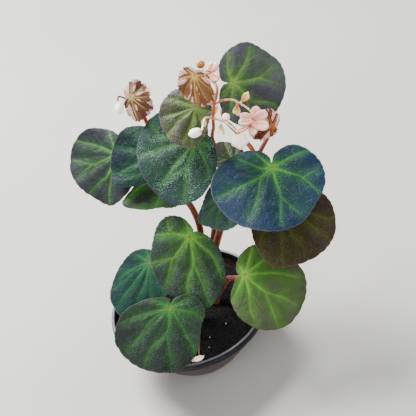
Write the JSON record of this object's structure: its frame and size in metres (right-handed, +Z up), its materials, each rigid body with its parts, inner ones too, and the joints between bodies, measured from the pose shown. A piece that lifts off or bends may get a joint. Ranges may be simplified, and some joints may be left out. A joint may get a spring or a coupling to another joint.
{
  "type": "potted begonia plant",
  "caption": "Leafy begonia in a shallow round pot: broad heart-shaped leaves on red-brown stems and a spray of small pale flowers.",
  "frame": {"origin": "centre of the pot's flat base", "axes": "+Z up, -Y towards the plant's front, which the picture looks down on"},
  "size_m": [0.1806, 0.1735, 0.2316],
  "materials": {
    "pot": "dull grey-brown moulded plastic",
    "soil": "damp, nearly black potting mix",
    "cane": "red-brown plant stem, slightly hairy",
    "flower_stalk": "thin red-brown to cream stalk",
    "leaf": "grey-green satin leaf with yellow-green veins and fine silver speckle",
    "young_leaf": "bronze young leaf with pale pink patches",
    "petal": "waxy white to pale pink petal",
    "seed_pod": "cream and orange winged pod",
    "fallen_flower": "withered white and tan petals"
  },
  "bodies": {
    "root": {"pot": "pot", "soil": "soil", "cane_back": "cane", "cane_left": "cane", "cane_right": "cane", "cane_front": "cane", "cane_low": "cane", "flower_stalk": "flower_stalk", "leaf_back_right": "leaf", "leaf_back_left": "leaf", "leaf_upper_left": "leaf", "leaf_left_inner": "leaf", "leaf_left_under": "leaf", "leaf_left_outer": "leaf", "leaf_right_upper": "leaf", "leaf_right_middle": "leaf", "leaf_right_low": "leaf", "leaf_under_bloom": "leaf", "leaf_middle_small": "leaf", "leaf_front_middle": "leaf", "leaf_front_left": "leaf", "leaf_front_low": "leaf", "young_leaf_left": "young_leaf", "young_leaf_top": "young_leaf", "young_leaf_right": "young_leaf", "bloom_top": "petal", "bloom_open": "petal", "bloom_hanging": "petal", "bud_large": "petal", "bud_front": "petal", "bud_small": "petal", "bud_brown": "petal", "bud_left": "petal", "seed_pod_upper": "seed_pod", "seed_pod_lower": "seed_pod", "fallen_flower": "fallen_flower"}
  },
  "joints": []
}
